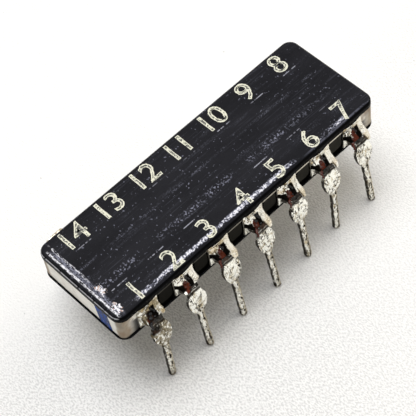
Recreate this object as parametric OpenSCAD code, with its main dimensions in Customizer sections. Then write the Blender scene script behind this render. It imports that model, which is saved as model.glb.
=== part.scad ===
// Resistor network in a dual-in-line case: a ceramic substrate with resistors printed on
// both faces, a coat over each face, and round wire leads soldered to the long sides.
// Millimetres. Z = 0 is the plane of the lead tips. X runs along the body from the end with
// leads 1 and 14. Leads 1 to 7 stand on the -Y side and leads 8 to 14 on the +Y side.

/* [Body] */
// Length of the ceramic substrate
body_l = 18.8; // [18:0.1:22]
// Width of the ceramic substrate
body_w = 6.32; // [5.6:0.02:6.7]
// Thickness of the ceramic substrate
ceramic_t = 1.62; // [1.4:0.02:2.2]
// Radius of the upright corners of the substrate
corner_r = 0.35; // [0.2:0.01:0.6]
// Height of the body's underside above the lead tips
standoff = 4.25; // [3.6:0.01:6]

/* [Coats] */
// Thickness of the top coat
top_coat_t = 0.45; // [0.36:0.01:0.8]
// Thickness of the bottom coat
bottom_coat_t = 0.2; // [0.16:0.01:0.5]
// Distance that both coats stand out past the printed layers
coat_lap = 0.05; // [0.02:0.01:0.12]
// Radius of the upright corners of both coats
coat_corner_r = 0.62; // [0.56:0.01:1]
// Radius of the top coat's upper edge
top_edge_r = 0.26; // [0.1:0.01:0.28]
// Radius of the bottom coat's lower edge
bottom_edge_r = 0.1; // [0.05:0.01:0.15]
// Width of the drip that the top coat leaves above each lead
drip_w = 1.2; // [0.8:0.05:1.36]
// Height of that drip
drip_h = 0.15; // [0.05:0.01:0.25]

/* [Printed layers] */
// Thickness of the printed conductors, resistors and side layers
print_t = 0.04; // [0.02:0.01:0.08]
// Width of the central bus on each face
bus_w = 1; // [0.4:0.05:1.4]
// Width of the solder lands on both faces
land_w = 1.2; // [0.9:0.05:1.6]
// Distance from the centre line to the inner edge of the lands
land_y = 1.58; // [1.2:0.02:2.4]
// Width of a resistor film
film_w = 0.95; // [0.7:0.05:1.4]
// Length of the laser cut that trims a resistor film
trim_l = 0.4; // [0.2:0.05:0.5]
// Width of that laser cut
trim_w = 0.08; // [0.04:0.01:0.15]

/* [Side of the substrate] */
// Width of the metal pad behind each lead
pad_w = 1.42; // [1.4:0.02:1.8]
// Gap between a pad and the dark glaze beside it
glaze_gap = 0.03; // [0.01:0.01:0.1]
// Distance of the glaze from the upper and lower edge of the substrate
glaze_inset = 0.08; // [0.02:0.01:0.2]
// Corner radius of a patch of glaze
glaze_r = 0.22; // [0.05:0.01:0.3]

/* [Paint mark] */
// Distance of the paint mark from the middle of the end face
mark_y = 1.7; // [0.8:0.05:2]
// Width of the paint mark
mark_w = 0.95; // [0.4:0.05:1.2]
// Sideways slant of the paint mark over its height
mark_slant = 0.2; // [0:0.05:0.4]
// Thickness of the paint
mark_t = 0.02; // [0.01:0.01:0.05]

/* [Leads] */
// Distance between neighbouring leads
pitch = 2.54; // [2.46:0.01:2.7]
// Distance between the centre lines of the two rows at the top of the drop
row_span = 7.8; // [7.6:0.05:8.6]
// Diameter of the lead wire
wire_d = 0.46; // [0.36:0.01:0.6]
// Thickness of the flattened strip at the bend
strip_t = 0.22; // [0.18:0.01:0.3]
// Width of that strip
strip_w = 0.88; // [0.7:0.02:1]
// Thickness of the tinning on the head of a lead
tin_t = 0.02; // [0.01:0.01:0.04]
// Greatest width of the head
head_w = 1.24; // [1.16:0.02:1.36]
// Height of the solder dome on the front of the head
dome_h = 0.1; // [0.04:0.01:0.15]
// Drop from the bend to the widest point of the head
head_peak = 0.52; // [0.4:0.02:0.7]
// Drop from the widest point of the head to the round wire
head_taper = 1.1; // [0.8:0.05:1.4]
// Radius of the bend, to the middle of the strip
bend_r = 0.28; // [0.2:0.01:0.36]
// Drop of the strip below the middle of the substrate
strip_drop = 0.34; // [0:0.02:0.45]
// Angle by which both rows spread
splay = 6.6; // [0:0.2:12]
// Chamfer on the tip of a lead
tip_chamfer = 0.07; // [0.02:0.01:0.12]

/* [Solder] */
// Thickness of the solder on the pads and beside the strip
solder_t = 0.05; // [0.03:0.01:0.1]
// Reach of the solder fillets out from the pad
fillet_run = 0.5; // [0.3:0.02:0.6]
// Depth by which the fillets are hollowed
fillet_hollow = 0.08; // [0.02:0.01:0.12]

/* [Hidden] */
$fn = 96;
per_row = 7;
leads = [1 : 2 * per_row];

// Leads that feed the bus on the upper and on the lower face; all others carry a resistor
upper_bus_lead = 2 * per_row;
lower_bus_lead = per_row;
resistor_leads = [for (i = leads) if (i % per_row != 0) i];

// Set of each bent pin in degrees, as [lead, outwards, towards +X]
bent_pins = [[1, -4, -1.5], [4, 2.2, 0], [6, -2.6, -2.2], [7, 1.1, 0.9], [11, 2.2, 0]];

// Heights
ceramic_z = standoff + bottom_coat_t;
top_z = ceramic_z + ceramic_t;
strip_z = ceramic_z + ceramic_t / 2 - strip_drop;

// Faces of the long sides, as distances from the centre line
side_y = body_w / 2;
pad_y = side_y + print_t;
coat_y = pad_y + coat_lap;

// Top of the drop, in the plane across a lead
bend_y = row_span / 2 - bend_r;
drop_y = bend_y + bend_r * cos(splay);
drop_z = strip_z - bend_r * (1 - sin(splay));
neck_drop = head_peak + head_taper;
neck_z = drop_z - neck_drop * cos(splay);
pin_lap = wire_d / 2;

// Head of a lead: the tinned strip, into which the bend runs on by a few degrees
head_t = strip_t + 2 * tin_t;
head_top_w = strip_w + 2 * tin_t;
bend_lap = 4;

// Radius of an arc from half its chord and its rise
function arc_radius(half_chord, rise) = (half_chord * half_chord + rise * rise) / (2 * rise);

// Centre of the arc that hollows the line from p to q, on the left of that line
function hollow_centre(p, q) =
    let (run = q - p, half = norm(run) / 2, left = [-run.y, run.x] / norm(run))
    (p + q) / 2 + left * (arc_radius(half, fillet_hollow) - fillet_hollow);

function on_near_side(i) = i <= per_row;
function lead_x(i) = (on_near_side(i) ? i - (per_row + 1) / 2 : (3 * per_row + 1) / 2 - i) * pitch;
function bent(i) = [for (b = bent_pins) if (b[0] == i) [b[1], b[2]]];
function pin_set(i) = len(bent(i)) > 0 ? bent(i)[0] : [0, 0];

// Places children, made with +Y pointing away from the body, at lead i
module at_lead(i) {
    translate([lead_x(i), 0, 0])
        rotate([0, 0, on_near_side(i) ? 180 : 0])
            children();
}

// Stands an outline of X and Z up as a layer from y0 outwards
module side_layer(y0, thickness) {
    translate([0, y0 + thickness, 0])
        rotate([90, 0, 0])
            linear_extrude(thickness)
                children();
}

module round_rect(size, r) {
    square([size.x - 2 * r, size.y], center = true);
    square([size.x, size.y - 2 * r], center = true);
    for (x = [-1, 1], y = [-1, 1])
        translate([x * (size.x / 2 - r), y * (size.y / 2 - r)])
            circle(r);
}

// Half of a coat's section, flat below and rounded at the upper edge
module coat_edge(width, height, r) {
    square([width, height - r]);
    square([width - r, height]);
    translate([width - r, height - r])
        intersection() {
            circle(r);
            square(r);
        }
}

// Straight run of a coat along Y, rounded at both upper edges
module coat_run(width, length, height, r) {
    rotate([90, 0, 0])
        linear_extrude(length, center = true) {
            coat_edge(width / 2, height, r);
            mirror([1, 0])
                coat_edge(width / 2, height, r);
        }
}

// Coat on the plane Z = 0, as wide as the layers on the sides plus the lap
module coat_slab(height, edge_r) {
    lap = coat_y - side_y;
    size = [body_l + 2 * lap, body_w + 2 * lap];
    run = [size.x - 2 * coat_corner_r, size.y - 2 * coat_corner_r];
    coat_run(size.x, run.y, height, edge_r);
    rotate([0, 0, 90])
        coat_run(size.y, run.x, height, edge_r);
    for (x = [-1, 1], y = [-1, 1])
        translate([x * run.x / 2, y * run.y / 2, 0])
            rotate_extrude()
                coat_edge(coat_corner_r, height, edge_r);
}

module drip_outline() {
    r = arc_radius(drip_w / 2, drip_h);
    translate([0, top_z])
        intersection() {
            translate([0, r - drip_h])
                circle(r);
            translate([-drip_w / 2, -drip_h])
                square([drip_w, drip_h]);
        }
}

module pad_outline() {
    translate([-pad_w / 2, ceramic_z])
        square([pad_w, ceramic_t]);
}

// Lands, bus and the link from the bus to the lead that feeds it
module conductor_outline(bus_lead) {
    square([(per_row - 1) * pitch + film_w, bus_w], center = true);
    at_lead(bus_lead)
        translate([-bus_w / 2, 0])
            square([bus_w, pad_y]);
    for (i = leads)
        at_lead(i)
            translate([-land_w / 2, land_y])
                square([land_w, pad_y - land_y]);
}

// Film from the bus to a land, with the trim cut half way along
module resistor_outline(i) {
    film_l = land_y - bus_w / 2;
    at_lead(i)
        translate([-film_w / 2, bus_w / 2])
            difference() {
                square([film_w, film_l]);
                translate([film_w - trim_l, (film_l - trim_w) / 2])
                    square([trim_l, trim_w]);
            }
}

module on_upper_face() {
    translate([0, 0, top_z])
        linear_extrude(print_t)
            children();
}

module on_lower_face() {
    translate([0, 0, ceramic_z - print_t])
        linear_extrude(print_t)
            children();
}

module ceramic_substrate() {
    color("cornsilk")
        translate([0, 0, ceramic_z])
            linear_extrude(ceramic_t)
                round_rect([body_l, body_w], corner_r);
}

module top_coat() {
    color("#17171c")
        difference() {
            union() {
                translate([0, 0, top_z])
                    coat_slab(top_coat_t, top_edge_r);
                for (i = leads)
                    at_lead(i)
                        side_layer(pad_y, coat_lap)
                            drip_outline();
            }
            upper_conductor();
            for (i = resistor_leads)
                upper_resistor(i);
        }
}

module bottom_coat() {
    color("#101013")
        difference() {
            translate([0, 0, ceramic_z])
                mirror([0, 0, 1])
                    coat_slab(bottom_coat_t, bottom_edge_r);
            lower_conductor();
            for (i = resistor_leads)
                lower_resistor(i);
        }
}

module upper_conductor() {
    color("#b9b7a8")
        on_upper_face()
            conductor_outline(upper_bus_lead);
}

module lower_conductor() {
    color("#b9b7a8")
        on_lower_face()
            conductor_outline(lower_bus_lead);
}

module upper_resistor(i) {
    color("#34302c")
        on_upper_face()
            resistor_outline(i);
}

module lower_resistor(i) {
    color("#34302c")
        on_lower_face()
            resistor_outline(i);
}

module edge_pads() {
    color("#c8c4b4")
        for (i = leads)
            at_lead(i)
                side_layer(side_y, print_t)
                    pad_outline();
}

// Dark solder dam between neighbouring pads
module side_glaze() {
    size = [pitch - pad_w - 2 * glaze_gap, ceramic_t - 2 * glaze_inset];
    color("#3a3b3a")
        for (i = leads)
            if (i % per_row != 0)
                translate([pitch / 2 * (on_near_side(i) ? 1 : -1), 0, 0])
                    at_lead(i)
                        side_layer(side_y, print_t)
                            translate([0, ceramic_z + ceramic_t / 2])
                                round_rect(size, glaze_r);
}

// Dab of paint down the end face
module end_paint_mark() {
    outer = mark_w / 2;
    slip = mark_slant / 2;
    color("royalblue")
        translate([-body_l / 2, 0, ceramic_z])
            rotate([90, 0, -90])
                linear_extrude(mark_t)
                    translate([mark_y, 0])
                        polygon([
                            [slip - outer, 0],
                            [slip + outer, 0],
                            [outer - slip, ceramic_t],
                            [-slip - outer, ceramic_t]
                        ]);
}

module lead_strip() {
    translate([-strip_w / 2, pad_y, strip_z - strip_t / 2])
        cube([strip_w, bend_y - pad_y, strip_t]);
    translate([0, bend_y, strip_z - bend_r])
        rotate([0, 90, 0])
            rotate([0, 0, 90 + splay - bend_lap])
                rotate_extrude(angle = 90 - splay + bend_lap)
                    translate([bend_r - strip_t / 2, -strip_w / 2])
                        square([strip_t, strip_w]);
}

// Half of the leaf-shaped head: two equal arcs that narrow from head_w to end_w over a height
module leaf_half(end_w, height) {
    r = arc_radius(height, (head_w - end_w) / 2);
    intersection() {
        translate([r - head_w / 2, 0])
            circle(r);
        translate([head_w / 2 - r, 0])
            circle(r);
        translate([-head_w / 2, 0])
            square([head_w, height]);
    }
}

module leaf_outline() {
    translate([0, -head_peak]) {
        leaf_half(head_top_w, head_peak);
        mirror([0, 1])
            leaf_half(wire_d, head_taper);
    }
}

// Solder that stands on the front of the head, highest half way down it
module head_dome() {
    r = arc_radius(neck_drop / 2, dome_h);
    intersection() {
        side_layer(0, head_t / 2 + dome_h)
            leaf_outline();
        translate([0, head_t / 2 + dome_h - r, -neck_drop / 2])
            sphere(r);
    }
}

// Coined head, from the end of the bend down to the round wire
module lead_head() {
    rotate([90, 0, 0])
        linear_extrude(head_t, center = true)
            leaf_outline();
    head_dome();
    translate([0, 0, pin_lap - neck_drop])
        cylinder(h = head_taper - pin_lap, d1 = wire_d, d2 = head_t);
}

// Round pin from the neck to the plane Z = 0
module lead_pin(i) {
    outwards = pin_set(i)[0];
    sideways = pin_set(i)[1] * (on_near_side(i) ? 1 : -1);
    upright = cos(splay + outwards) * cos(sideways);
    tip_r = wire_d / 2 - tip_chamfer;
    length = (neck_z - tip_r * sqrt(1 - upright * upright)) / upright;
    rotate([outwards, 0, 0])
        rotate([0, sideways, 0])
            translate([0, 0, -length]) {
                cylinder(h = tip_chamfer, r1 = tip_r, d2 = wire_d);
                translate([0, 0, tip_chamfer])
                    cylinder(h = length - tip_chamfer + pin_lap, d = wire_d);
            }
}

module lead(i) {
    color("#cfcabb")
        at_lead(i) {
            lead_strip();
            translate([0, drop_y, drop_z])
                rotate([splay, 0, 0]) {
                    lead_head();
                    translate([0, 0, -neck_drop])
                        lead_pin(i);
                }
        }
}

// Section of the joint across a lead: fillets above and below the strip
module fillet_section() {
    over = strip_z + strip_t / 2;
    under = strip_z - strip_t / 2;
    peak = [0, top_z - drip_h];
    foot = [0, ceramic_z];
    upper = hollow_centre(peak, [fillet_run, over]);
    lower = hollow_centre([fillet_run, under], foot);
    difference() {
        polygon([foot, [fillet_run, under], [fillet_run, over], peak]);
        translate(upper)
            circle(norm(upper - peak));
        translate(lower)
            circle(norm(lower - foot));
    }
}

// Plan of the joint: as wide as the pad, narrowing to the strip
module fillet_plan() {
    end = [strip_w / 2 + solder_t, fillet_run];
    root = [pad_w / 2, 0];
    centre = hollow_centre(end, root);
    difference() {
        polygon([[-root.x, 0], root, end, [-end.x, end.y]]);
        for (side = [-1, 1])
            translate([side * centre.x, centre.y])
                circle(norm(centre - root));
    }
}

module solder_joint(i) {
    color("#d8d4c6")
        at_lead(i)
            difference() {
                union() {
                    side_layer(pad_y, solder_t)
                        difference() {
                            pad_outline();
                            drip_outline();
                        }
                    translate([0, pad_y, 0])
                        intersection() {
                            rotate([90, 0, 90])
                                linear_extrude(pad_w, center = true)
                                    fillet_section();
                            translate([0, 0, ceramic_z])
                                linear_extrude(ceramic_t)
                                    fillet_plan();
                        }
                }
                lead_strip();
            }
}

ceramic_substrate();
top_coat();
bottom_coat();
upper_conductor();
lower_conductor();
edge_pads();
side_glaze();
end_paint_mark();
for (i = resistor_leads) {
    upper_resistor(i);
    lower_resistor(i);
}
for (i = leads) {
    lead(i);
    solder_joint(i);
}
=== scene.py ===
"""Finish of a dual-in-line resistor network: worn coat, ceramic, tinned leads, solder and stage."""

import bpy
from bpy.props import FloatProperty, FloatVectorProperty, PointerProperty
from bpy.types import Operator, Panel, PropertyGroup
from mathutils import Matrix, Vector


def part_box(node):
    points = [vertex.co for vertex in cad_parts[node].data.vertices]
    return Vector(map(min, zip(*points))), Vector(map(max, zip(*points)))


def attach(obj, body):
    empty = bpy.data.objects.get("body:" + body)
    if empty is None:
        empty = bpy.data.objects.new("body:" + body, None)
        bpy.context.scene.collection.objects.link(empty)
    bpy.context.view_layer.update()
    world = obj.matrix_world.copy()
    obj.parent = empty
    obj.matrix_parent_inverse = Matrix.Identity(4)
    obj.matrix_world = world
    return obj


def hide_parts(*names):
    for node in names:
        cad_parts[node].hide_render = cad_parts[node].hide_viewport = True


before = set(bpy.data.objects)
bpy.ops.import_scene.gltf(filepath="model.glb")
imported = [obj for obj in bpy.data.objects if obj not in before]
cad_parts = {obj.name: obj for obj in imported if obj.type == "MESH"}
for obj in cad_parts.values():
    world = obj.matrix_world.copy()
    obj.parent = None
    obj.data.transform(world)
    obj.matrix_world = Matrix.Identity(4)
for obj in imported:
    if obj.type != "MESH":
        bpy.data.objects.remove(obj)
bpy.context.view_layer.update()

bl_info = {
    "name": "Resistor Network Finish",
    "version": (1, 0, 0),
    "blender": (4, 5, 0),
    "location": "View3D > Sidebar > Resistor Network",
    "description": "Dresses a dual-in-line resistor network and sets up its stage",
    "category": "Object",
}

# One millimetre in the frame's metres
MM = 0.001

# Leads in a row, and the way from one to the next in millimetres
PER_ROW = 7
PITCH = 2.54
LEADS = range(1, 2 * PER_ROW + 1)


def place(node):
    """Lowest and highest corner of a node in millimetres."""
    low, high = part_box(node)
    return low / MM, high / MM


def lead_x(number):
    """Place of a lead along the body, in millimetres."""
    low, high = place(f"solder_joint_{number}")
    return (low.x + high.x) / 2


def outward(number):
    """Side of the body that a lead stands on."""
    return -1 if number <= PER_ROW else 1


# Corners of the body's pieces and levels on the leads, in millimetres
COAT_LOW, COAT_HIGH = place("top_coat")
CERAMIC_LOW, CERAMIC_HIGH = place("ceramic_substrate")
STRIP_TOP = place("lead_2")[1].z
PAD_FACE = place("edge_pads")[1].y
# Height where a head begins to narrow to its round pin
HEAD_FOOT = 3.5

# Scabs of burnt flux on a joint: across, out, up and three half sizes
SCABS = (
    (0.05, 0.12, 0.52, 0.09, 0.08, 0.13),
    (0.14, 0.21, 0.36, 0.08, 0.10, 0.13),
    (-0.12, 0.22, 0.31, 0.11, 0.10, 0.11),
    (-0.22, 0.33, 0.13, 0.12, 0.12, 0.08),
    (0.04, 0.38, 0.08, 0.10, 0.07, 0.05),
    (-0.36, 0.48, 0.00, 0.09, 0.14, 0.06),
    (-0.46, 0.62, -0.05, 0.07, 0.12, 0.08),
    (-0.47, 0.72, -0.20, 0.06, 0.07, 0.14),
)

# Solder that runs from a pad's upper corner down over the strip to the head:
# across, out, up and three half sizes of each lump
RIBBON = (
    (0.61, 0.03, 0.84, 0.07, 0.06, 0.10),
    (0.59, 0.05, 0.70, 0.09, 0.07, 0.12),
    (0.56, 0.09, 0.55, 0.12, 0.10, 0.14),
    (0.52, 0.15, 0.40, 0.17, 0.13, 0.15),
    (0.49, 0.23, 0.27, 0.22, 0.15, 0.15),
    (0.47, 0.32, 0.17, 0.26, 0.16, 0.14),
    (0.46, 0.42, 0.08, 0.28, 0.17, 0.13),
    (0.47, 0.53, 0.00, 0.27, 0.17, 0.13),
    (0.48, 0.64, -0.09, 0.23, 0.15, 0.14),
    (0.48, 0.73, -0.20, 0.18, 0.12, 0.14),
)

# Share of that run's width on each lead, and the number of its lumps
RUNS = (
    (0.65, 7), (0.8, 6), (1.0, 10), (0.8, 10), (0.6, 10), (0.55, 10), (0.7, 10),
    (0.9, 9), (0.7, 8), (1.0, 10), (0.8, 7), (0.95, 9), (0.7, 8), (0.85, 9),
)

# Lumps of solder on every joint: place across, out and up, and half sizes
JOINT_LUMPS = (
    ((-0.44, 0.05, 0.48), (0.2, 0.09, 0.3)),
    ((0.14, 0.40, 0.10), (0.05, 0.06, 0.05)),
)

# More lumps on single joints: a blob on the second and a sliver over the last
BLOB_LEAD = 2
SLIVER_LEAD = LEADS[-1]
EXTRA_LUMPS = {
    BLOB_LEAD: [((-0.36, 0.58, 0.05), (0.22, 0.14, 0.09))],
    SLIVER_LEAD: [((across, 0.76, 0.04), (0.32, 0.15, 0.22)) for across in (-0.48, -0.18, 0.12)],
}

# Number of scabs that the blob leaves uncovered
BLOB_SCABS = 5

# Spots where the coat is chipped to the ceramic
CHIPS = ((-8.80, -1.16), (-8.92, -2.56))

# Lines of wear along the top, in millimetres across the body
FAR_DASHES = 1.54
NEAR_DASHES = -1.62
FAR_BAND = 0.5
SPECK_ROW = -1.06

# Colours of wear and dirt, and of painted sheen and painted shade
RUBBED_AND_SHEEN = (0.82, 0.82, 0.87)
CHIP_RIM = (0.40, 0.20, 0.09)
GREY_SMEAR = (0.34, 0.32, 0.28)
# Tans for the corners of the ceramic, partly stain and partly painted shade
PALE_TAN = (0.36, 0.31, 0.21)
DARK_TAN = (0.25, 0.17, 0.09)
OLIVE = (0.13, 0.12, 0.08)
GRIME = (0.02, 0.018, 0.016)
GOLD = (0.56, 0.42, 0.21)
BLACK_SOOT = (0.008, 0.007, 0.006)
GREY_SOOT = (0.060, 0.058, 0.053)
BROWN_SOOT = (0.045, 0.020, 0.011)
CHARRED = (0.018, 0.015, 0.012)
CHARRED_RED = (0.045, 0.026, 0.018)
# Painted shade in the hollows of a joint, partly soot
HOLLOW_SHADE = (0.006, 0.005, 0.004)
BLACK_FLUX = (0.004, 0.004, 0.004)

# Thin glaze at the dim end and at the bright end: painted light, lighter towards the +X end where more
# light falls
THIN_GLAZE_SHADED_AND_LIT = ((0.07, 0.067, 0.06), (0.85, 0.80, 0.68))

# Fired prints under the coats
PRINTED_METAL = (0.66, 0.63, 0.55)
RESISTOR_FILM = (0.05, 0.042, 0.038)

# Heights of lumps and grains on the solder and on the flux, in millimetres
SOLDER_LUMP = 0.06
SOLDER_GRAIN = 0.025
FLUX_CRUST = 0.09

# Edge of a face on the flux, and the crumb of it on the first lead
FLUX_VOXEL = 0.03
CRUMB_RADIUS = 0.06

# Level of a texture that leaves the surface where it is: high, so that lumps on a lead go in
INWARD = 0.66

# Ink: depth of its root in the coat, wander of its edges and growth of its strokes, in millimetres
INK_ROOT = 0.02
INK_WANDER = 0.07
INK_GROWTH = 0.018

# Numerals: way from the near and the far edge of the coat, and share of a font's size that they fill
NEAR_MARGIN = 0.16
FAR_MARGIN = 0.24
NUMERAL_SHARE = 0.7

# Width of the camera's sensor in millimetres, and the way to the lamp
SENSOR = 36
LAMP_FROM = Vector((0, 0.2, 1))

# Distance under which points of a mesh are joined, on the enlarged bench
JOIN = 1e-4


def colour_setting(name, description, default):
    """Property that holds a colour."""
    return FloatVectorProperty(name=name, description=description, subtype="COLOR", default=default)


class CoatSettings(PropertyGroup):
    """Black coats and the dark glaze between the pads."""

    black: colour_setting("Black", "Colour of the coats", (0.0146, 0.0146, 0.0176))
    # This colour also paints sheen along the near edge of the top and in the hazy band along the end
    # edge
    scuff: colour_setting("Scuff", "Colour where the coat is rubbed", (0.28, 0.29, 0.37))
    glaze: colour_setting("Glaze", "Colour of the glaze between the pads", (0.0125, 0.012, 0.0105))
    gloss: FloatProperty(
        name="Roughness", description="Roughness of the clean coat", subtype="FACTOR",
        default=0.28, min=0.05, max=1,
    )
    shine: FloatProperty(
        name="Shine", description="Strength of reflections in the coats", subtype="FACTOR",
        default=0.025, min=0, max=1,
    )


class CeramicSettings(PropertyGroup):
    """Substrate and the paint on its end."""

    cream: colour_setting("Cream", "Colour of the clean ceramic", (0.97, 0.94, 0.87))
    stain: colour_setting("Stain", "Colour of the stains on the ceramic", (0.24, 0.15, 0.075))
    paint: colour_setting("Paint", "Colour of the dab of paint", (0.010, 0.042, 0.20))


class MetalSettings(PropertyGroup):
    """Tinned wire, solder and flux."""

    tin: colour_setting("Tin", "Colour of clean tin", (0.96, 0.95, 0.87))
    tarnish: colour_setting("Tarnish", "Colour of tarnished tin", (0.46, 0.36, 0.18))
    # This colour also paints shade on faces turned to -X and along the bend above each head
    crack: colour_setting("Crack", "Colour in cracks and pits", (0.022, 0.017, 0.013))
    flux: colour_setting("Flux", "Colour of burnt flux", (0.105, 0.021, 0.010))
    voxel: FloatProperty(
        name="Voxel", description="Edge of a face on the metal, in millimetres",
        default=0.036, min=0.02, max=0.1,
    )
    lump: FloatProperty(
        name="Lumps", description="Height of the lumps in the tin, in millimetres",
        default=0.075, min=0, max=0.1,
    )


class PrintSettings(PropertyGroup):
    """Pin numbers on the top."""

    ink: colour_setting("Ink", "Colour of the printing ink", (0.70, 0.70, 0.54))
    height: FloatProperty(
        name="Height", description="Height of a numeral, in millimetres", default=1.25, min=0.5, max=2
    )
    rim: FloatProperty(
        name="Rim", description="Width of the thick edge of a stroke, in millimetres",
        default=0.065, min=0, max=0.1,
    )
    proud: FloatProperty(
        name="Thickness", description="Thickness of the ink above the coat, in millimetres",
        default=0.003, max=0.01,
    )


class StageSettings(PropertyGroup):
    """Floor, light and camera."""

    floor: colour_setting("Floor", "Colour of the floor", (0.915, 0.912, 0.895))
    sky: colour_setting("Sky", "Light from above", (0.17, 0.17, 0.18))
    dim: colour_setting("Dim side", "Light from low down on the -Y side", (0.01, 0.008, 0.006))
    lit: colour_setting("Lit side", "Light from low down on the +Y side", (0.66, 0.62, 0.54))
    bright_end: colour_setting("Bright end", "Light from low down beyond the +X end", (1.80, 1.69, 1.50))
    dim_end: colour_setting("Dim end", "Light from low down beyond the -X end", (0.22, 0.215, 0.20))
    key: FloatProperty(name="Key", description="Strength of the soft lamp overhead", default=2.36, min=0)
    spread: FloatProperty(
        name="Spread", description="Width of the soft lamp as seen from the floor", subtype="ANGLE",
        default=0.8, min=0,
    )
    tone: colour_setting("Key colour", "Colour of the soft lamp", (0.98, 0.99, 1.02))
    eye: FloatVectorProperty(
        name="Camera", description="Place of the camera, in millimetres",
        default=(-28.203, -38.783, 73.319),
    )
    look: FloatVectorProperty(
        name="View", description="Direction of view", subtype="DIRECTION",
        default=(0.3283565, 0.4590233, -0.8255178),
    )
    up: FloatVectorProperty(
        name="Up", description="Direction of the picture's top", subtype="DIRECTION",
        default=(0.6186311, 0.5559330, 0.5551883),
    )
    lens: FloatProperty(
        name="Lens", description="Focal length on a sensor of 36 mm", default=134.25, min=10
    )


class Field:
    """A socket that takes part in Python expressions."""

    def __init__(self, finish, socket):
        self.finish = finish
        self.socket = socket

    def maths(self, operation, first, second=0.0):
        return self.finish.node("ShaderNodeMath", {"operation": operation}, {0: first, 1: second})

    def __add__(self, other):
        return self.maths("ADD", self, other)

    __radd__ = __add__

    def __sub__(self, other):
        return self.maths("SUBTRACT", self, other)

    def __rsub__(self, other):
        return self.maths("SUBTRACT", other, self)

    def __mul__(self, other):
        return self.maths("MULTIPLY", self, other)

    __rmul__ = __mul__

    def __abs__(self):
        return self.maths("ABSOLUTE", self)

    def most(self, other):
        return self.maths("MAXIMUM", self, other)

    def wrap(self, period):
        """Distance past the nearest multiple of a period."""
        inputs = {0: self, 1: period / 2, 2: -period / 2}
        return self.finish.node("ShaderNodeMath", {"operation": "WRAP"}, inputs)

    def rise(self, low, high):
        """Smooth step from 0 at low to 1 at high. With low above high it falls."""
        ends = {"From Min": low, "From Max": high}
        if low > high:
            ends = {"From Min": high, "From Max": low, "To Min": 1.0, "To Max": 0.0}
        return self.finish.node(
            "ShaderNodeMapRange", {"interpolation_type": "SMOOTHSTEP"}, {"Value": self, **ends}
        )

    def within(self, low, high, soft):
        """1 between two limits, fading to 0 over a soft edge outside them."""
        return self.rise(low - soft, low) * self.rise(high + soft, high)

    def near(self, middle, width, soft):
        """1 around a middle, fading to 0 over a soft edge."""
        return abs(self - middle).rise(width + soft, width)


class Graph:
    """A node tree that is built from expressions."""

    def __init__(self, tree):
        self.tree = tree

    def node(self, kind, settings=None, inputs=None, output=0):
        """Adds a node, sets it up, fills or links its sockets and returns one output."""
        made = self.tree.nodes.new(kind)
        for key, setting in (settings or {}).items():
            setattr(made, key, setting)
        for key, given in (inputs or {}).items():
            if isinstance(given, Field):
                self.tree.links.new(given.socket, made.inputs[key])
            else:
                made.inputs[key].default_value = given
        return Field(self, made.outputs[output])

    def split(self, vector):
        """The three parts of a vector."""
        return [self.node("ShaderNodeSeparateXYZ", {}, {"Vector": vector}, axis) for axis in "XYZ"]

    def mix(self, amount, first, second):
        """Colour between two others."""
        inputs = {0: amount}
        for key, colour in ((6, first), (7, second)):
            inputs[key] = colour if isinstance(colour, Field) else (*colour, 1.0)
        return self.node("ShaderNodeMix", {"data_type": "RGBA"}, inputs, 2)

    def blend(self, amount, first, second):
        """Number between two others."""
        return amount * second + (1 - amount) * first


class Finish(Graph):
    """A material, with places on the object in millimetres."""

    def __init__(self, name):
        self.material = bpy.data.materials.new(name)
        self.material.use_nodes = True
        super().__init__(self.material.node_tree)
        self.surface = self.tree.nodes["Principled BSDF"]
        self.coords = self.node("ShaderNodeTexCoord", output="Object")
        self.x, self.y, self.z = self.split(self.stretched((1, 1, 1)))

    def stretched(self, scale, turn=0.0):
        """Object coordinates in millimetres, scaled on each axis and turned about Z."""
        size = tuple(s / MM for s in scale)
        return self.node(
            "ShaderNodeMapping", {}, {"Vector": self.coords, "Scale": size, "Rotation": (0, 0, turn)}
        )

    def noise(self, scale, detail=2.0, stretch=(1, 1, 1), distortion=0.0, turn=0.0):
        """Noise from 0 to 1 with a number of lumps to the millimetre."""
        inputs = {"Scale": scale, "Detail": detail, "Distortion": distortion}
        inputs["Vector"] = self.stretched(stretch, turn)
        return self.node("ShaderNodeTexNoise", {}, inputs, "Fac")

    def bump(self, height, depth):
        """Normal from a height, with the depth of its full range in millimetres."""
        return self.node("ShaderNodeBump", {}, {"Distance": depth * MM, "Height": height}, "Normal")

    def set(self, **sockets):
        """Links or sets inputs of the surface, named with _ for a blank."""
        for key, given in sockets.items():
            socket = self.surface.inputs[key.replace("_", " ")]
            if isinstance(given, Field):
                self.tree.links.new(given.socket, socket)
            else:
                socket.default_value = (*given, 1.0) if isinstance(given, tuple) else given
        return self.material


def scaled(colour, share):
    """A colour made darker or lighter."""
    return tuple(part * share for part in colour)


def tinted(colour, shares):
    """A colour with each of its parts made weaker or stronger."""
    return tuple(part * share for part, share in zip(colour, shares))


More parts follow.
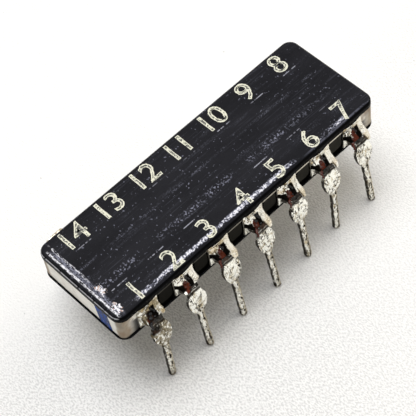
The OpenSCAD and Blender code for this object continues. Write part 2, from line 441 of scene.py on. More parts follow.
def coat_finish(settings):
    """Black coat, scratched along its length and rubbed pale on its near and end edges, with painted
    sheen and highlight along its edges and painted shade on its sides.
    """
    f = Finish("scratched_black_coat")
    black = tuple(settings.black)
    scuff = tuple(settings.scuff)
    top = f.z.rise(COAT_HIGH.z - 0.09, COAT_HIGH.z - 0.03)
    peel = f.noise(5.0, 3.0)
    fine = f.noise(20.0, 2.0)
    dust = f.noise(14.0, 3.0)
    film = f.x.wrap(PITCH)
    # Long, thin scratches and a few broad, faint smears along the body
    hair = f.noise(1.0, 3.0, (0.3, 14.0, 1.0)).rise(0.60, 0.68) * f.noise(0.6, 1.0).rise(0.42, 0.6)
    smear = f.noise(1.0, 3.0, (0.35, 3.4, 1.0)).rise(0.54, 0.72) * dust.rise(0.40, 0.62)
    # Short dashes where the printed films below end
    stroke = f.noise(7.0, 2.0, (1.0, 0.1, 1.0)).rise(0.40, 0.52) * f.noise(0.4, 1.0).rise(0.36, 0.56)
    far_dash = f.y.near(FAR_DASHES, 0.01, 0.03) * (film - 0.1).near(0.0, 0.42, 0.1) * stroke
    near_dash = f.y.near(NEAR_DASHES, 0.01, 0.03) * (film + 0.3).near(0.0, 0.48, 0.1) * stroke
    # Sheen along the near edge beyond the rubbed stretch
    edge = (f.y - COAT_LOW.y).near(0.17, 0.02, 0.05) * f.x.within(5.0, 8.9, 1.2) * peel.rise(0.3, 0.5)
    far_band = f.y.near(FAR_BAND, 0.02, 0.1) * dust.rise(0.46, 0.60) * f.noise(0.9, 1.0).rise(0.35, 0.6)
    # Specks in rows over the printed bus, and strays everywhere
    speck = f.noise(9.0, 2.0).rise(0.54, 0.62)
    row = speck * f.y.near(SPECK_ROW, 0.06, 0.26) * f.noise(0.6, 1.0, (1.0, 0.4, 1.0)).rise(0.40, 0.56)
    row = row * f.x.rise(9.0, 3.0)
    stray = f.noise(6.0, 2.0).rise(0.66, 0.71) * f.noise(0.7, 2.0).rise(0.34, 0.56)
    # Near edge, rubbed in broken grains
    grit = f.noise(10.0, 4.0, (0.8, 1.0, 1.0))
    ragged = f.noise(0.9, 3.0, (0.6, 1.0, 1.0)) + f.x.rise(4.6, 2.0) * 0.27 - 0.09
    near_line = f.y - COAT_LOW.y - 0.32 - 0.12 * f.noise(1.6, 2.0)
    near_rub = near_line.near(0.0, 0.04, 0.14) * ragged.rise(0.42, 0.72) * 0.2 + grit
    near_mask = near_line.near(0.0, 0.09, 0.09) * ragged.rise(0.40, 0.54) * f.x.within(-7.4, 7.0, 0.7)
    # End edge: a thin pale line and a hazy band, each partly rubbed wear and partly painted highlight,
    # with a ragged rubbed line behind it
    line_x = f.x - COAT_LOW.x - 0.30
    grain = f.noise(6.0, 4.0, (2.0, 0.7, 1.0))
    drift = f.noise(0.9, 3.0)
    thin = (line_x + drift * 0.06).near(0.03, 0.03, 0.06) * (grain * 0.6 + dust * 0.4).rise(0.40, 0.56)
    thin = thin * f.y.within(-2.9, 2.5, 0.2)
    inner = (line_x - 0.2 - 0.24 * drift).near(0.0, 0.02, 0.06) * grain.rise(0.46, 0.54)
    inner = inner * f.y.within(0.0, 2.5, 0.5)
    haze = (line_x - drift * 0.3).near(0.02, 0.1, 0.16) * (grain * 0.6 + dust * 0.4).rise(0.40, 0.62)
    haze = haze * f.y.within(-2.8, 2.2, 0.4)
    chip = 0.0
    for chip_x, chip_y in CHIPS:
        spot = (f.x - chip_x).near(0.0, 0.02, 0.30) * (f.y - chip_y).near(0.0, 0.10, 0.44)
        chip = spot.most(chip)
    chip = chip * 0.25 + f.noise(8.5, 4.0, (1.3, 0.8, 1.0)) * chip.rise(0.0, 0.1)
    chipped = chip.rise(0.63, 0.70)
    fringe = f.noise(7.0, 3.0).rise(0.50, 0.60)
    pale_mask = (near_rub.rise(0.62, 0.76) * near_mask).most(thin).most(inner * 0.8)
    dull_mask = (near_rub.rise(0.50, 0.64) * near_mask * 0.8).most(haze * 0.8)
    dashes = (far_dash * 0.7).most(near_dash * 0.7)
    faint = (hair * 0.07).most(smear * 0.11).most(row * 0.72).most(stray * 0.55)
    faint = faint.most(far_band * 0.3).most(edge * 0.3)
    wear_and_sheen = pale_mask.most(dull_mask).most(dashes).most(faint) * top
    cloud = f.noise(0.5, 3.0, (0.5, 1.4, 1.0)).rise(0.3, 0.75)
    base = f.mix(cloud * 0.6, scaled(black, 0.8), scaled(black, 1.5))
    # Sheen along the upper edge of the end face
    end = f.x.rise(COAT_LOW.x + 0.25, COAT_LOW.x + 0.15)
    sheen = f.z.near(COAT_HIGH.z - 0.14, 0.01, 0.04) * end * peel.rise(0.3, 0.5)
    # Painted shade: the coat's sides take a far darker black than its top
    side = f.mix(sheen * 0.6, scaled(black, 0.06), RUBBED_AND_SHEEN)
    base = f.mix(top, side, base)
    base = f.mix(dull_mask.most(faint).most(dashes) * top, base, scuff)
    base = f.mix(pale_mask.most(dashes * 0.35) * top, base, RUBBED_AND_SHEEN)
    base = f.mix(chipped * top, base, f.mix(fringe * 0.8, RUBBED_AND_SHEEN, CHIP_RIM))
    rough = f.blend(peel.rise(0.2, 0.8), settings.gloss - 0.05, settings.gloss + 0.08)
    rough = f.blend(wear_and_sheen, rough, 0.55)
    height = peel * 0.5 + fine * 0.2 + dust * 0.2 - wear_and_sheen * 0.4 + f.noise(0.9, 2.0) * 1.2
    return f.set(
        Base_Color=base, Roughness=rough, Specular_IOR_Level=settings.shine,
        Normal=f.bump(height, 0.018),
    )


def lower_coat_finish(settings):
    """Thin black coat on the underside, duller than the top."""
    f = Finish("dull_black_coat")
    black = scaled(settings.black, 0.15)
    grain = f.noise(6.0, 4.0)
    dust = f.noise(13.0, 2.0).rise(0.66, 0.74)
    base = f.mix(dust * 0.25, f.mix(grain, black, scaled(black, 2)), tuple(settings.scuff))
    rough = f.blend(grain, 0.35, 0.6)
    return f.set(
        Base_Color=base, Roughness=rough, Specular_IOR_Level=settings.shine,
        Normal=f.bump(grain, 0.03),
    )


def glaze_finish(settings):
    """Charcoal glaze with a black rim of painted shade round each patch and a pale line along its thin
    top; glaze and line are painted lighter towards the +X end, where more light falls.
    """
    f = Finish("charcoal_glaze")
    glaze = tuple(settings.glaze)
    cloud = f.noise(1.6, 2.0)
    grain = f.noise(18.0, 2.0)
    wobble = (f.noise(2.2, 2.0) - 0.5) * 0.2
    low, high = place("side_glaze")
    middle = (low.z + high.z) / 2
    across = (abs((f.x + PITCH / 2).wrap(PITCH)) + wobble * 0.3) * 2.2
    up = (f.z - middle + wobble * 0.3 - 0.12) * 1.8
    round_x, round_z = across * across, up * up
    inside = (round_x * round_x + round_z * round_z).rise(1.15, 0.75)
    # Painted light: the glaze and the line along its top lighten towards the +X end
    east = f.x.rise(-5.0, 6.0)
    grey = f.mix(east, scaled(glaze, 1.4), scaled(glaze, 3.4))
    base = f.mix(cloud * 0.5, grey, glaze)
    # Painted shade: near black round the edge of each patch, where it meets the pads and the coats
    base = f.mix(inside, scaled(glaze, 0.08), base)
    line = (f.z + wobble * 0.2).rise(high.z - 0.14, high.z - 0.09)
    base = f.mix(line, base, f.mix(east, *THIN_GLAZE_SHADED_AND_LIT))
    rough = f.blend(grain, 0.45, 0.6)
    return f.set(Base_Color=base, Roughness=rough, Specular_IOR_Level=0.0, Normal=f.bump(grain, 0.006))


def ceramic_finish(settings):
    """Cream ceramic with brown at its corners, partly stains and partly painted shade, grey smears and a
    grimy lower edge.
    """
    f = Finish("cream_ceramic")
    cream = tuple(settings.cream)
    cloud = f.noise(1.1, 4.0, (1.0, 1.0, 0.7))
    grain = f.noise(14.0, 3.0)
    smear = f.noise(1.9, 4.0, (0.9, 0.9, 2.0)).rise(0.52, 0.72)
    side = abs(f.y)
    wobble = (cloud - 0.5) * 0.3
    end = abs(f.x).rise(CERAMIC_HIGH.x - 0.9, CERAMIC_HIGH.x - 0.3)
    corner = end * (side + wobble).rise(2.55, 2.85)
    flank = side.rise(CERAMIC_HIGH.y - 0.06, CERAMIC_HIGH.y - 0.01)
    stain = f.noise(1.7, 5.0, (1.0, 1.0, 0.8)).rise(0.34, 0.62) * corner.most(flank)
    spot = f.noise(2.4, 4.0).rise(0.62, 0.74) * 0.25
    base = f.mix(cloud.rise(0.35, 0.75) * 0.5, cream, tinted(cream, (0.86, 0.82, 0.76)))
    base = f.mix(smear * 0.14, base, GREY_SMEAR)
    tan = f.mix(cloud.rise(0.4, 0.65), PALE_TAN, DARK_TAN)
    olive = f.noise(2.6, 4.0).rise(0.46, 0.60) * f.z.rise(CERAMIC_HIGH.z - 1.0, CERAMIC_HIGH.z - 0.3)
    tan = f.mix(olive * 0.8, tan, OLIVE)
    # Tan at the corners, partly stain and partly painted shade
    base = f.mix(corner * 0.85, base, tan)
    base = f.mix(stain.most(spot) * 0.7, base, tuple(settings.stain))
    soot = flank * (f.noise(2.1, 3.0) + f.z.rise(CERAMIC_HIGH.z, CERAMIC_LOW.z) * 0.4).rise(0.52, 0.72)
    soot = soot * abs(f.x).rise(9.0, 8.4)
    grime = f.z.rise(CERAMIC_LOW.z + 0.12, CERAMIC_LOW.z) * f.noise(2.4, 3.0).rise(0.36, 0.6)
    base = f.mix(soot.most(grime * 0.8), base, GRIME)
    rough = f.blend(cloud, 0.38, 0.62)
    return f.set(Base_Color=base, Roughness=rough, Normal=f.bump(grain * 0.6 + cloud, 0.012))


def paint_finish(settings):
    """Thin blue paint, patchy over the ceramic."""
    f = Finish("blue_paint")
    paint = tuple(settings.paint)
    cloud = f.noise(6.5, 4.0, (1.0, 1.0, 0.35)).rise(0.36, 0.64)
    bare = f.noise(5.0, 4.0, (1.0, 1.5, 0.5)).rise(0.60, 0.72)
    base = f.mix(cloud, scaled(paint, 0.3), scaled(paint, 1.7))
    base = f.mix(bare * 0.25, base, tuple(settings.cream))
    rough = f.blend(cloud, 0.5, 0.7)
    return f.set(Base_Color=base, Roughness=rough, Specular_IOR_Level=0.25, Normal=f.bump(cloud, 0.01))


def printed_finish(name, colour, metal):
    """Fired print on the substrate, hidden under the coats."""
    f = Finish(name)
    grain = f.noise(9.0, 3.0)
    base = f.mix(grain, scaled(colour, 0.8), colour)
    rough = f.blend(grain, 0.4, 0.6)
    return f.set(Base_Color=base, Metallic=metal, Roughness=rough, Normal=f.bump(grain, 0.01))


def tin_layers(f, settings, clean=0.0):
    """Colour, metal, roughness and height of wrinkled tin, with fewer marks where it is clean."""
    along = (1.0, 1.0, 0.5)
    frost = f.noise(9.0, 4.0, along)
    wrinkle = f.noise(2.6, 3.0, (1.0, 1.0, 0.6), 0.8)
    patch = f.noise(1.7, 4.0, (1.0, 1.0, 0.7))
    pin = f.z.rise(HEAD_FOOT, HEAD_FOOT - 0.3)
    line = abs(f.noise(2.1, 4.0, along, 1.2) - 0.5)
    crack = line.rise(0.026, 0.009) * f.noise(2.4, 2.0).rise(0.42, 0.52)
    vein = abs(f.noise(2.8, 3.0, along, 1.6) - 0.48).rise(0.04, 0.012)
    vein = vein * f.noise(1.9, 2.0).rise(0.48, 0.60)
    pit = f.noise(5.0, 4.0, along).rise(0.63, 0.67)
    grit = f.noise(13.0, 3.0, along).rise(0.61, 0.67) * patch.rise(0.49, 0.59)
    dark = crack.most(pit).most(grit * 0.85) * (1 - pin * 0.3)
    flank = f.split(f.node("ShaderNodeNewGeometry", output="Normal"))[0]
    # Painted shade: faces turned towards -X, darkened to the crack colour further down
    shade = flank.rise(-0.76, -0.90) * f.noise(5.0, 3.0, along).rise(0.22, 0.40)
    # Painted shade: a dull, tarnished right side on each round pin, with specks along it; and a dark
    # end, painted contact shadow where the pin stands on the floor
    right_side_shade = pin * flank.rise(-0.25, 0.2)
    speck = pin * flank.near(0.06, 0.18, 0.2) * f.noise(7.0, 3.0, (1.0, 1.0, 0.7)).rise(0.47, 0.53)
    tip_contact_shadow = (f.z.rise(0.5, 0.1) * f.noise(4.0, 3.0).rise(0.38, 0.52)).most(f.z.rise(0.14, 0.04))
    dark = dark.most(speck).most(tip_contact_shadow * 0.85) * (1 - clean)
    rim = dark.most(f.noise(6.0, 4.0, along).rise(0.57, 0.65) * 0.8).most(vein)
    old = patch.rise(0.54, 0.74).most(rim).most(right_side_shade * 0.75) * (1 - clean * 0.7)
    base = f.mix(old * 0.8, tuple(settings.tin), tuple(settings.tarnish))
    base = f.mix(dark, base, tuple(settings.crack))
    base = f.mix(shade * 0.95, base, tuple(settings.crack))
    metal = f.blend(dark.most(shade), 0.95, 0.3)
    rough = f.blend(frost, 0.10, 0.34)
    rough = f.blend(dark.most(shade), rough, 0.55)
    height = frost * 0.25 + wrinkle * 1.8 - dark * 0.6 - vein * 0.3
    return base, metal, rough, height


def first_joint(f):
    """1 round the first lead, 0 elsewhere."""
    return (f.x - lead_x(1)).near(0.0, 1.0, 0.1) * f.y.rise(0.0, -1.0)


def lead_finish(settings):
    """Tinned lead, with a dark strip above the head."""
    f = Finish("tinned_lead")
    base, metal, rough, height = tin_layers(f, settings)
    # The first head is grubby
    first = first_joint(f) * f.z.rise(HEAD_FOOT - 0.8, HEAD_FOOT)
    grubby = first * f.noise(4.5, 4.0).rise(0.42, 0.54)
    base = f.mix(grubby * 0.85, base, scaled(settings.tarnish, 0.4))
    reach = abs(f.y) - PAD_FACE
    wobble = (f.noise(3.0, 3.0) - 0.5) * 0.16
    above = f.z.rise(STRIP_TOP - 0.42, STRIP_TOP - 0.3)
    shelf = above * (reach + wobble).rise(0.74, 0.64)
    # Dark patch that runs over the upper corner of the first head
    scorch = (f.x - lead_x(1) + 0.3).near(0.0, 0.2, 0.25) * f.z.near(STRIP_TOP - 0.4, 0.15, 0.25)
    shelf = shelf.most(scorch * f.y.rise(0.0, -1.0))
    cloud = f.noise(3.8, 4.0)
    glint = f.noise(6.0, 2.0).rise(0.64, 0.70)
    red = (reach + wobble * 2.5).rise(0.46, 0.34) * f.noise(4.2, 3.0).rise(0.36, 0.48)
    soot = f.mix(cloud.rise(0.38, 0.62), BLACK_SOOT, GREY_SOOT)
    soot = f.mix(f.noise(2.2, 3.0).rise(0.50, 0.62) * 0.7, soot, BROWN_SOOT)
    soot = f.mix(glint * 0.9, soot, tuple(settings.tin))
    soot = f.mix(red, soot, tuple(settings.flux))
    # Painted shade: a dark line along the bend where the strip turns down into the head
    lip = (reach + wobble * 0.3).near(0.72, 0.02, 0.04) * above
    base = f.mix(shelf * 0.985, base, soot)
    base = f.mix(lip * 0.95, base, tuple(settings.crack))
    metal = f.blend(shelf, metal, 0.1)
    rough = f.blend(shelf, rough, 0.32)
    return f.set(
        Base_Color=base, Metallic=metal, Roughness=rough, Specular_IOR_Level=0.0,
        Normal=f.bump(height, 0.06),
    )


def solder_finish(settings):
    """Solder on the pads, with burnt flux, painted shade in its hollows and gold where it thins out."""
    f = Finish("fluxed_solder")
    across = f.x.wrap(PITCH)
    out = abs(f.y) - PAD_FACE
    up = f.z - STRIP_TOP
    wobble = (f.noise(3.2, 3.0) - 0.5) * 0.3
    ribbon = (across + wobble * 0.4).rise(0.28, 0.38)
    foot = (across + wobble).rise(-0.24, -0.34) * (up + across * 0.4).rise(-0.10, -0.18)
    foot = foot * out.rise(0.42, 0.32)
    base, metal, rough, height = tin_layers(f, settings, (ribbon * 0.8).most(foot))
    first = first_joint(f)
    # Red flux in the middle of the joint and below it
    inner = out.rise(0.6, 0.5)
    heart = (across + 0.10).near(0.0, 0.0, 0.34) * up.near(0.2, 0.0, 0.5) * out.rise(0.6, 0.45)
    red = (heart + (f.noise(5.0, 3.0) - 0.5) * 1.2).rise(0.42, 0.6) * inner
    low = (up + wobble * 0.5).rise(0.26, 0.14) * (across + wobble * 0.5).within(-0.36, 0.12, 0.06)
    red = red.most(low * up.rise(-0.14, -0.04))
    # Painted shade, partly soot: black in a slit beside the run, in an arch over the foot and along the
    # lower edge
    slit = (across + wobble * 0.6 - 0.17).near(0.0, 0.12, 0.05) * up.within(0.02, 0.6, 0.08) * inner
    arch = (up + across * 0.4 + wobble * 0.4 - 0.02).near(0.0, 0.16, 0.06)
    arch = arch * (across + wobble).rise(-0.2, -0.34) * (1 - first * 0.8) * inner
    under = up.rise(-0.2, -0.34) * f.noise(2.6, 3.0).rise(0.36, 0.5) * (1 - foot) * (1 - ribbon)
    gold = up.rise(0.35, 0.65) * f.noise(2.2, 3.0).rise(0.46, 0.6) * (1 - ribbon * 0.7)
    # The run on the right dulls to tan where it meets the head, partly tarnish and partly painted shade
    tan = ribbon * ((out + wobble).rise(0.36, 0.60) * 0.6 + 0.4) * f.noise(2.0, 2.0).rise(0.3, 0.55)
    tan = tan.most(out.rise(0.6, 0.7) * f.y.rise(0.0, 1.0) * f.noise(3.0, 2.0).rise(0.36, 0.5))
    # The first joint is burnt over most of its strip
    burnt = first * (across + wobble * 0.6).within(-0.26, 0.20, 0.08)
    burnt = burnt * (up + wobble * 0.5).rise(0.56, 0.44)
    grubby = first * f.noise(5.0, 4.0).rise(0.40, 0.52)
    base = f.mix(grubby * 0.85, base, scaled(settings.tarnish, 0.4))
    black = arch.most(slit).most(under)
    base = f.mix(gold.most(tan * 0.8) * 0.65, base, GOLD)
    base = f.mix(red * 0.99, base, tuple(settings.flux))
    base = f.mix(burnt * 0.985, base, f.mix(f.noise(3.0, 3.0).rise(0.4, 0.6), CHARRED, CHARRED_RED))
    base = f.mix(black, base, HOLLOW_SHADE)
    flux_and_shade = black.most(red).most(burnt)
    metal = f.blend(flux_and_shade, metal, 0.0)
    rough = f.blend(flux_and_shade, rough, 0.3)
    return f.set(
        Base_Color=base, Metallic=metal, Roughness=rough, Specular_IOR_Level=0.0,
        Normal=f.bump(height, 0.045),
    )


def flux_finish(settings):
    """Burnt flux, glassy red-brown on one side of a joint and black on the other."""
    f = Finish("burnt_flux")
    cloud = f.noise(4.0, 3.0)
    grain = f.noise(9.0, 3.0)
    red = (f.x.wrap(PITCH) + (cloud - 0.5) * 0.5).rise(0.02, -0.10) * (f.x - lead_x(1)).rise(0.6, 1.0)
    glassy = f.mix(grain, tuple(settings.flux), scaled(settings.flux, 0.4))
    base = f.mix(red, BLACK_FLUX, glassy)
    rough = f.blend(grain, 0.08, 0.4)
    return f.set(Base_Color=base, Roughness=rough, Specular_IOR_Level=0.3, Normal=f.bump(grain, 0.03))


def ink_finish(name, settings, coat, cover):
    """Pale ink, granular, with the coat showing through where it covers less."""
    f = Finish(name)
    ink = tuple(settings.ink)
    grain = f.noise(11.0, 4.0)
    thin = f.noise(5.0, 3.0)
    bare = (grain * 0.5 + thin * 0.5).rise(cover - 0.04, cover + 0.06)
    base = f.mix(f.noise(4.0, 2.0), ink, tinted(ink, (1.12, 1.1, 1.2)))
    base = f.mix(bare * 0.92, base, tuple(coat.black))
    rough = f.blend(grain, 0.5, 0.7)
    return f.set(Base_Color=base, Roughness=rough, Normal=f.bump(grain - bare, 0.012))


def floor_finish(settings):
    """Pale sheet with a fine tooth that fades out to the far side and to the right, painted light that
    leaves the sheet plainer and lighter where it is lit brightest.
    """
    f = Finish("pale_sheet")
    tooth = f.noise(11.0, 3.0, (1.0, 0.6, 1.0), 0.0, 0.6)
    speck = f.noise(1.6, 1.0).rise(0.78, 0.80)
    pale = tuple(settings.floor)
    # Painted light: the darkening tooth is strongest near the object and to the left, where the floor
    # lies in shade
    tooth_where_shaded = f.y.rise(7.0, 0.0) * (f.x.rise(8.0, -6.0) * 0.55 + 0.45)
    base = f.mix(tooth.rise(0.60, 0.36) * tooth_where_shaded, pale, scaled(pale, 0.76))
    base = f.mix(speck * 0.4, base, scaled(pale, 0.4))
    return f.set(Base_Color=base, Roughness=0.9, Specular_IOR_Level=0.1, Normal=f.bump(tooth, 0.05))


def select_only(piece):
    """Leaves one object selected and active."""
    bpy.ops.object.select_all(action="DESELECT")
    piece.select_set(True)
    bpy.context.view_layer.objects.active = piece


def edit(piece):
    """Opens a piece in edit mode with all of it selected."""
    select_only(piece)
    bpy.ops.object.mode_set(mode="EDIT")
    bpy.ops.mesh.select_all(action="SELECT")


def done():
    """Closes edit mode."""
    bpy.ops.object.mode_set(mode="OBJECT")


def apply(piece, kind, **settings):
    """Adds a modifier to a piece and applies it."""
    select_only(piece)
    modifier = piece.modifiers.new(kind.title(), kind)
    for key, setting in settings.items():
        setattr(modifier, key, setting)
    bpy.ops.object.modifier_apply(modifier=modifier.name)


def skin(piece, voxel, passes):
    """Turns a piece into one even skin and softens it."""
    apply(piece, "REMESH", mode="VOXEL", voxel_size=voxel)
    apply(piece, "SMOOTH", factor=0.5, iterations=passes)


def roughen(piece, texture, strength, middle=0.5, direction="NORMAL"):
    """Moves the surface of a piece in and out by a texture."""
    apply(
        piece, "DISPLACE", texture=texture, texture_coords="LOCAL", direction=direction,
        strength=strength, mid_level=middle,
    )


def bench_copy(node, name):
    """Copy of a node with its triangles joined, enlarged so that a millimetre is one unit."""
    piece = bpy.data.objects.new(name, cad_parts[node].data.copy())
    bpy.context.scene.collection.objects.link(piece)
    piece.data.materials.clear()
    select_only(piece)
    bpy.ops.mesh.customdata_custom_splitnormals_clear()
    edit(piece)
    bpy.ops.transform.resize(value=(1 / MM,) * 3, center_override=(0, 0, 0))
    bpy.ops.mesh.remove_doubles(threshold=JOIN)
    done()
    return piece


def off_the_bench(piece, material, slot, *nodes):
    """Shrinks a piece to the frame's size, finishes it and puts it in the place of its nodes."""
    edit(piece)
    bpy.ops.transform.resize(value=(MM,) * 3, center_override=(0, 0, 0))
    done()
    bpy.ops.object.shade_smooth()
    piece.data.materials.append(material)
    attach(piece, "root")
    if nodes:
        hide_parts(*nodes)


def lump(number, place_on_lead, size):
    """Adds a rounded lump to the piece in edit mode, across, out from and above a lead's strip."""
    across, out, up = place_on_lead
    centre = (lead_x(number) + across, outward(number) * (PAD_FACE + out), STRIP_TOP + up)
    bpy.ops.mesh.primitive_uv_sphere_add(
        segments=20, ring_count=12, radius=1, location=centre, scale=size
    )


def clouds(name, size):
    """Noise texture that moves a surface."""
    texture = bpy.data.textures.new(name, "CLOUDS")
    texture.noise_scale = size
    texture.noise_depth = 2
    return texture


def paint_node(node, material):
    """Gives a carried-over node its material."""
    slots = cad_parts[node].data.materials
    slots.clear()
    slots.append(material)


class NETWORK_OT_dress_body(Operator):
    """Finish the substrate, coats, glaze, paint mark and printed layers"""

    bl_idname = "network.dress_body"
    bl_label = "Dress Body"

    def execute(self, context):
        scene = context.scene
        coat, ceramic = scene.network_coat, scene.network_ceramic
        paint_node("top_coat", coat_finish(coat))
        paint_node("bottom_coat", lower_coat_finish(coat))
        paint_node("side_glaze", glaze_finish(coat))
        paint_node("ceramic_substrate", ceramic_finish(ceramic))
        paint_node("end_paint_mark", paint_finish(ceramic))
        metal = printed_finish("printed_metal", PRINTED_METAL, 0.9)
        film = printed_finish("resistor_film", RESISTOR_FILM, 0.0)
        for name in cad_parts:
            if "conductor" in name or name == "edge_pads":
                paint_node(name, metal)
            if "resistor" in name:
                paint_node(name, film)
        return {"FINISHED"}


class NETWORK_OT_build_leads(Operator):
    """Model the tinned leads over their solids"""

    bl_idname = "network.build_leads"
    bl_label = "Build Leads"

    def execute(self, context):
        settings = context.scene.network_metal
        material = lead_finish(settings)
        coarse = clouds("tin_lumps", 0.34)
        fine = clouds("tin_grain", 0.12)
        for number in LEADS:
            piece = bench_copy(f"lead_{number}", f"tinned_lead_{number}")
            skin(piece, settings.voxel, 3)
            roughen(piece, coarse, settings.lump, INWARD)
            roughen(piece, fine, settings.lump / 3, INWARD)
            off_the_bench(piece, material, "tinned_wire", f"lead_{number}")
        return {"FINISHED"}


class NETWORK_OT_build_solder(Operator):
    """Model the solder joints over their solids"""

    bl_idname = "network.build_solder"
    bl_label = "Build Solder"

    def execute(self, context):
        settings = context.scene.network_metal
        material = solder_finish(settings)
        coarse = clouds("solder_lumps", 0.4)
        fine = clouds("solder_grain", 0.13)
        for number in LEADS:
            piece = bench_copy(f"solder_joint_{number}", f"fluxed_solder_{number}")
            edit(piece)
            share, count = RUNS[number - 1]
            for across, out, up, wide, deep, tall in RIBBON[:count]:
                lump(number, (across + wide * (1 - share), out, up), (wide * share, deep, tall))
            for spot, size in (*JOINT_LUMPS, *EXTRA_LUMPS.get(number, ())):
                lump(number, spot, size)
            done()
            skin(piece, settings.voxel, 4)
            roughen(piece, coarse, SOLDER_LUMP)
            roughen(piece, fine, SOLDER_GRAIN)
            off_the_bench(piece, material, "solder", f"solder_joint_{number}")
        return {"FINISHED"}


class NETWORK_OT_build_flux(Operator):
    """Model the burnt flux on the strips and the crumb beside the first lead"""

    bl_idname = "network.build_flux"
    bl_label = "Build Flux"

    def execute(self, context):
        settings = context.scene.network_metal
        bpy.ops.object.select_all(action="DESELECT")
        bpy.ops.mesh.primitive_uv_sphere_add(radius=CRUMB_RADIUS, location=self.crumb())
        piece = context.active_object
        piece.name = "burnt_flux"
        bpy.ops.object.transform_apply(location=True, rotation=True, scale=True)
        edit(piece)
        for number in LEADS:
            # Each joint has its scabs a little to one side
            slip = 0.07 * ((number * 5) % 7 - 3) / 3
            scabs = SCABS[:BLOB_SCABS] if number == BLOB_LEAD else SCABS
            for across, out, up, *size in scabs:
                lump(number, (across + slip, out + slip / 2, up), size)
        done()
        skin(piece, FLUX_VOXEL, 2)
        roughen(piece, clouds("flux_crust", 0.12), FLUX_CRUST)
        off_the_bench(piece, flux_finish(settings), "solder")
        return {"FINISHED"}

    def crumb(self):
        """Place of the crumb on the first lead."""
        return lead_x(1) - 0.62, -PAD_FACE - 0.9, STRIP_TOP - 1.0


class NETWORK_OT_print_top(Operator):
    """Print the pin numbers on the top coat"""

    bl_idname = "network.print_top"
    bl_label = "Print Top"

    def execute(self, context):
        settings, coat = context.scene.network_print, context.scene.network_coat
        numerals = [self.numeral(number, settings) for number in LEADS]
        select_only(numerals[0])
        for piece in numerals:
            piece.select_set(True)
        bpy.ops.object.join()
        piece = context.active_object
        piece.name = "pin_numbers"
        # Ink gathers in a thick rim round each stroke
        edit(piece)
        bpy.ops.mesh.remove_doubles(threshold=JOIN)
        bpy.ops.mesh.inset(thickness=settings.rim, use_boundary=True, use_even_offset=False)
        done()
        for face in piece.data.polygons:
            face.material_index = int(face.select)
        edit(piece)
        bpy.ops.mesh.subdivide(number_cuts=2)
        done()
        for axis, size in (("X", 0.11), ("Y", 0.13)):
            roughen(piece, clouds(f"ink_edge_{axis}", size), INK_WANDER, direction=axis)
        edit(piece)
        bpy.ops.mesh.extrude_region_move(TRANSFORM_OT_translate={"value": (0, 0, -INK_ROOT)})
        bpy.ops.mesh.select_all(action="SELECT")
        bpy.ops.mesh.normals_make_consistent(inside=False)
        done()
        off_the_bench(piece, ink_finish("thick_ink", settings, coat, 0.60), "top_coat")
        bpy.ops.object.shade_flat()
        piece.data.materials.append(ink_finish("thin_ink", settings, coat, 0.47))
        return {"FINISHED"}

    def numeral(self, number, settings):
        """Flat pin number beside its lead, on the enlarged bench."""
        near_foot = COAT_LOW.y + NEAR_MARGIN
        far_foot = COAT_HIGH.y - FAR_MARGIN - settings.height
        bpy.ops.object.select_all(action="DESELECT")
        bpy.ops.object.text_add()
        text = bpy.context.active_object
        text.data.body = str(number)
        text.data.align_x = "CENTER"
        text.data.size = settings.height / NUMERAL_SHARE
        text.data.offset = INK_GROWTH
        text.data.resolution_u = 6
        bpy.ops.object.convert(target="MESH")
        numeral = bpy.context.active_object
        foot = near_foot if outward(number) < 0 else far_foot
        numeral.location = lead_x(number), foot, COAT_HIGH.z + settings.proud
        bpy.ops.object.transform_apply(location=True, rotation=True, scale=True)
        return numeral


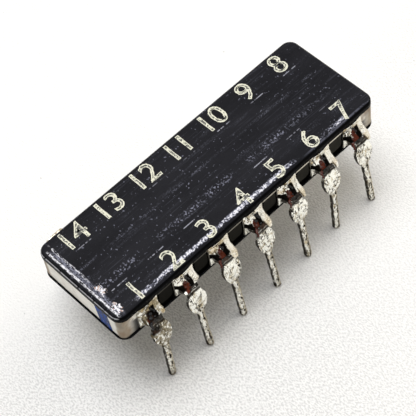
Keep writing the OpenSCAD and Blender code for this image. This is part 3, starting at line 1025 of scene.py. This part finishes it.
class NETWORK_OT_build_stage(Operator):
    """Set up the floor, the light and the camera"""

    bl_idname = "network.build_stage"
    bl_label = "Build Stage"

    def execute(self, context):
        settings = context.scene.network_stage
        self.floor(settings)
        self.light(context, settings)
        self.camera(context, settings)
        context.scene.view_settings.view_transform = "Standard"
        return {"FINISHED"}

    def floor(self, settings):
        bpy.ops.object.select_all(action="DESELECT")
        bpy.ops.mesh.primitive_plane_add(size=2)
        floor = bpy.context.active_object
        floor.name = "floor"
        floor.data.materials.append(floor_finish(settings))

    def light(self, context, settings):
        world = bpy.data.worlds.new("studio")
        context.scene.world = world
        world.use_nodes = True
        g = Graph(world.node_tree)
        east, north, height = g.split(g.node("ShaderNodeTexCoord", output="Generated"))
        low = g.mix(north.rise(-0.9, 0.1), tuple(settings.dim), tuple(settings.lit))
        low = g.mix(east.rise(0.1, 0.7), low, tuple(settings.bright_end))
        low = g.mix(east.rise(-0.1, -0.7), low, tuple(settings.dim_end))
        glow = g.mix(height.rise(0.45, 0.95), low, tuple(settings.sky))
        # The camera and reflections see plain white
        camera, glossy, through = (
            g.node("ShaderNodeLightPath", output=f"Is {ray} Ray")
            for ray in ("Camera", "Glossy", "Transmission")
        )
        seen = g.mix(camera.most(glossy).most(through), glow, (1.0, 1.0, 1.0))
        g.tree.links.new(seen.socket, g.tree.nodes["Background"].inputs["Color"])
        lamp = bpy.data.lights.new("key", "SUN")
        lamp.angle = settings.spread
        lamp.energy = settings.key
        lamp.color = settings.tone
        key = bpy.data.objects.new("key", lamp)
        context.scene.collection.objects.link(key)
        turn = (-LAMP_FROM).to_track_quat("-Z", "Y").to_matrix().to_4x4()
        key.matrix_world = Matrix.Translation(LAMP_FROM) @ turn

    def camera(self, context, settings):
        data = bpy.data.cameras.new("camera")
        data.sensor_width = SENSOR
        data.lens = settings.lens
        data.clip_start = MM
        data.clip_end = 10
        camera = bpy.data.objects.new("camera", data)
        context.scene.collection.objects.link(camera)
        back = -Vector(settings.look).normalized()
        right = Vector(settings.up).cross(back).normalized()
        turn = Matrix((right, back.cross(right), back)).transposed().to_4x4()
        camera.matrix_world = Matrix.Translation(Vector(settings.eye) * MM) @ turn
        context.scene.camera = camera


class NETWORK_PT_panel(Panel):
    """Lists the steps and their settings"""

    bl_idname = "NETWORK_PT_panel"
    bl_label = "Resistor Network"
    bl_space_type = "VIEW_3D"
    bl_region_type = "UI"
    bl_category = "Resistor Network"

    def draw(self, context):
        for step in STEPS:
            self.layout.operator(step.bl_idname)
        for name in SETTINGS:
            group = getattr(context.scene, name)
            box = self.layout.box()
            for key in group.__annotations__:
                box.prop(group, key)


SETTINGS = {
    "network_coat": CoatSettings,
    "network_ceramic": CeramicSettings,
    "network_metal": MetalSettings,
    "network_print": PrintSettings,
    "network_stage": StageSettings,
}
STEPS = (
    NETWORK_OT_dress_body,
    NETWORK_OT_build_leads,
    NETWORK_OT_build_solder,
    NETWORK_OT_build_flux,
    NETWORK_OT_print_top,
    NETWORK_OT_build_stage,
)
CLASSES = (*SETTINGS.values(), *STEPS, NETWORK_PT_panel)


def register():
    for item in CLASSES:
        bpy.utils.register_class(item)
    for name, group in SETTINGS.items():
        setattr(bpy.types.Scene, name, PointerProperty(type=group))


def unregister():
    for name in SETTINGS:
        delattr(bpy.types.Scene, name)
    for item in reversed(CLASSES):
        bpy.utils.unregister_class(item)


def main():
    register()
    bpy.ops.network.dress_body()
    bpy.ops.network.build_leads()
    bpy.ops.network.build_solder()
    bpy.ops.network.build_flux()
    bpy.ops.network.print_top()
    bpy.ops.network.build_stage()


if __name__ == "__main__":
    main()
